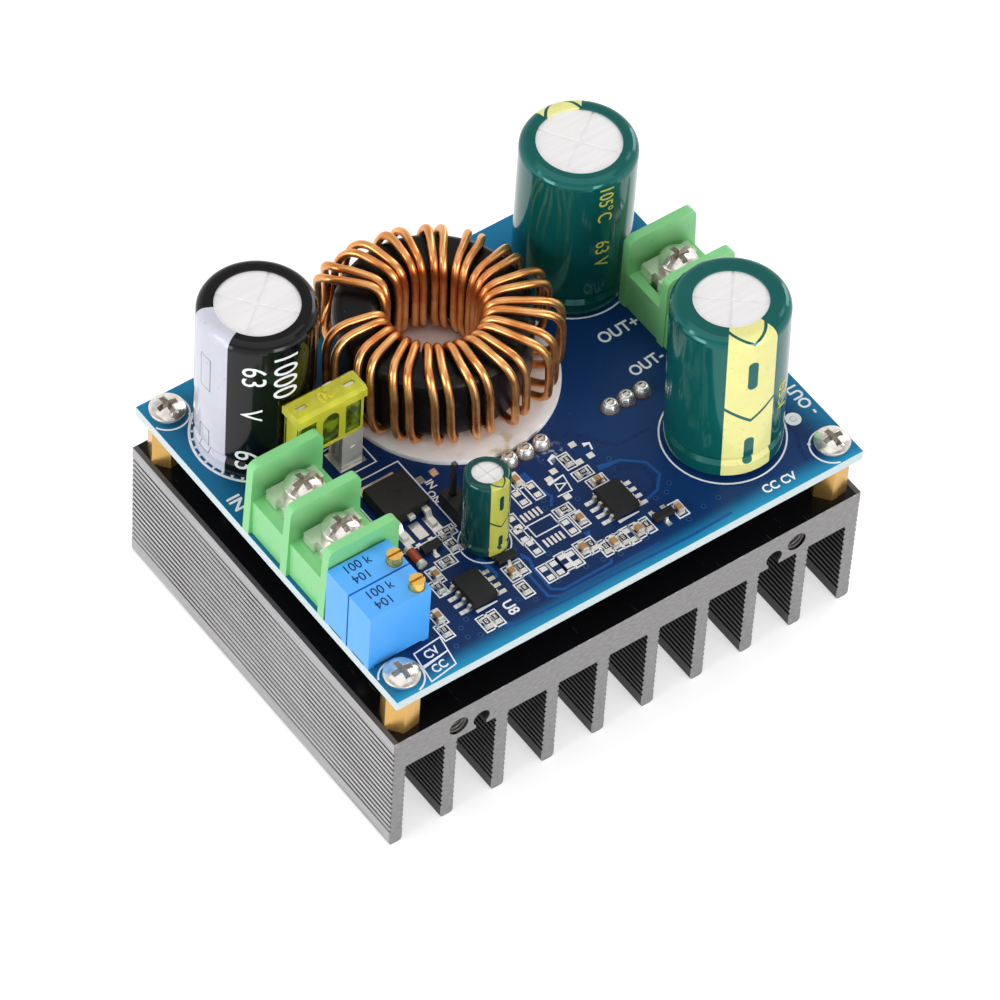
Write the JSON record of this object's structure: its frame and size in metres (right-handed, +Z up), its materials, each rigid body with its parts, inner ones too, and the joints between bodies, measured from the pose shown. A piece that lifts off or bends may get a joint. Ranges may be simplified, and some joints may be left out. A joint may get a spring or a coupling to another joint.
{
  "type": "boost converter module",
  "caption": "Step-up power converter: circuit board with ring choke, capacitors, fuse, trimmers and screw terminals on pillars over a finned heatsink",
  "frame": {"origin": "middle of the heatsink's underside, at the fin tips", "axes": "+X across the fins from the input terminal to the output terminal, +Y along the fins toward the choke, +Z up"},
  "size_m": [0.076, 0.06, 0.057],
  "materials": {
    "anodised": "black anodised, worn on the ribs",
    "pillar_metal": "bare turned brass",
    "circuit_board": "blue solder mask",
    "screw_steel": "zinc plated",
    "thermal_sheet": "matt",
    "moulded_black": "matt moulded",
    "tinned": "tinned",
    "insulating_white": "matt fibre",
    "core_black": "coated iron powder",
    "copper_wire": "enamelled copper",
    "can_metal": "bare",
    "sleeve_black": "shrink sleeve",
    "sleeve_green": "shrink sleeve",
    "bung_rubber": "matt",
    "fuse_yellow": "clear tinted",
    "terminal_green": "satin moulded",
    "trimmer_blue": "satin moulded",
    "adjuster_brass": "turned",
    "chip_black": "glazed",
    "chip_tan": "matt",
    "diode_glass": "clear",
    "solder": "bright"
  },
  "bodies": {
    "module": {"heatsink": "anodised", "standoffs": "pillar_metal", "board": "circuit_board", "board_screws": "screw_steel", "thermal_pads": "thermal_sheet", "transistor_body": "moulded_black", "transistor_leads": "tinned", "rectifier_body": "moulded_black", "rectifier_leads": "tinned", "device_screws": "screw_steel", "insulating_bushes": "insulating_white", "choke_base": "insulating_white", "choke_core": "core_black", "choke_winding": "copper_wire", "input_cap_can": "can_metal", "input_cap_sleeve": "sleeve_black", "output_cap_front_can": "can_metal", "output_cap_front_sleeve": "sleeve_green", "output_cap_back_can": "can_metal", "output_cap_back_sleeve": "sleeve_green", "bias_cap_can": "can_metal", "bias_cap_sleeve": "sleeve_green", "cap_bungs": "bung_rubber", "cap_leads": "tinned", "fuse_body": "fuse_yellow", "fuse_element": "tinned", "fuse_clips": "tinned", "input_terminal_housing": "terminal_green", "input_terminal_contacts": "tinned", "output_terminal_housing": "terminal_green", "output_terminal_contacts": "tinned", "voltage_trimmer_case": "trimmer_blue", "current_trimmer_case": "trimmer_blue", "trimmer_pins": "tinned", "switch_body": "moulded_black", "switch_leads": "tinned", "controller_bodies": "moulded_black", "controller_leads": "tinned", "small_transistor_bodies": "moulded_black", "small_transistor_leads": "tinned", "chip_resistors": "chip_black", "chip_capacitors": "chip_tan", "chip_ends": "tinned", "glass_diode": "diode_glass", "diode_ends": "tinned", "header_base": "moulded_black", "header_pins": "tinned", "solder_joints": "solder"},
    "voltage_adjuster": {"voltage_adjuster": "adjuster_brass"},
    "current_adjuster": {"current_adjuster": "adjuster_brass"},
    "input_clamp_a": {"input_clamp_a": "screw_steel"},
    "input_screw_a": {"input_screw_a": "screw_steel"},
    "input_clamp_b": {"input_clamp_b": "screw_steel"},
    "input_screw_b": {"input_screw_b": "screw_steel"},
    "output_clamp_a": {"output_clamp_a": "screw_steel"},
    "output_screw_a": {"output_screw_a": "screw_steel"},
    "output_clamp_b": {"output_clamp_b": "screw_steel"},
    "output_screw_b": {"output_screw_b": "screw_steel"}
  },
  "joints": [
    {"name": "voltage_adjuster_turn", "type": "hinge", "parent": "module", "child": "voltage_adjuster", "pos_m": [-0.02962, -0.01707, 0.04033], "axis": [0, 0, 1], "continuous": true},
    {"name": "current_adjuster_turn", "type": "hinge", "parent": "module", "child": "current_adjuster", "pos_m": [-0.02962, -0.02205, 0.04033], "axis": [0, 0, 1], "continuous": true},
    {"name": "input_clamp_a_rise", "type": "slide", "parent": "module", "child": "input_clamp_a", "axis": [0, 0, 1], "range_m": [0, 0.0028]},
    {"name": "input_screw_a_turn", "type": "hinge", "parent": "input_clamp_a", "child": "input_screw_a", "pos_m": [-0.03175, 0.00015, 0.0383], "axis": [0, 0, 1], "range_deg": [0, 1440]},
    {"name": "input_clamp_b_rise", "type": "slide", "parent": "module", "child": "input_clamp_b", "axis": [0, 0, 1], "range_m": [0, 0.0028]},
    {"name": "input_screw_b_turn", "type": "hinge", "parent": "input_clamp_b", "child": "input_screw_b", "pos_m": [-0.03175, -0.00834, 0.0383], "axis": [0, 0, 1], "range_deg": [0, 1440]},
    {"name": "output_clamp_a_rise", "type": "slide", "parent": "module", "child": "output_clamp_a", "axis": [0, 0, 1], "range_m": [0, 0.0028]},
    {"name": "output_screw_a_turn", "type": "hinge", "parent": "output_clamp_a", "child": "output_screw_a", "pos_m": [0.03195, 0.00435, 0.0383], "axis": [0, 0, 1], "range_deg": [0, 1440]},
    {"name": "output_clamp_b_rise", "type": "slide", "parent": "module", "child": "output_clamp_b", "axis": [0, 0, 1], "range_m": [0, 0.0028]},
    {"name": "output_screw_b_turn", "type": "hinge", "parent": "output_clamp_b", "child": "output_screw_b", "pos_m": [0.03195, -0.00415, 0.0383], "axis": [0, 0, 1], "range_deg": [0, 1440]}
  ],
  "couplings": [
    {"joint": "input_screw_a_turn", "follows": "input_clamp_a_rise", "rad_per_m": 8976},
    {"joint": "input_screw_b_turn", "follows": "input_clamp_b_rise", "rad_per_m": 8976},
    {"joint": "output_screw_a_turn", "follows": "output_clamp_a_rise", "rad_per_m": 8976},
    {"joint": "output_screw_b_turn", "follows": "output_clamp_b_rise", "rad_per_m": 8976}
  ]
}
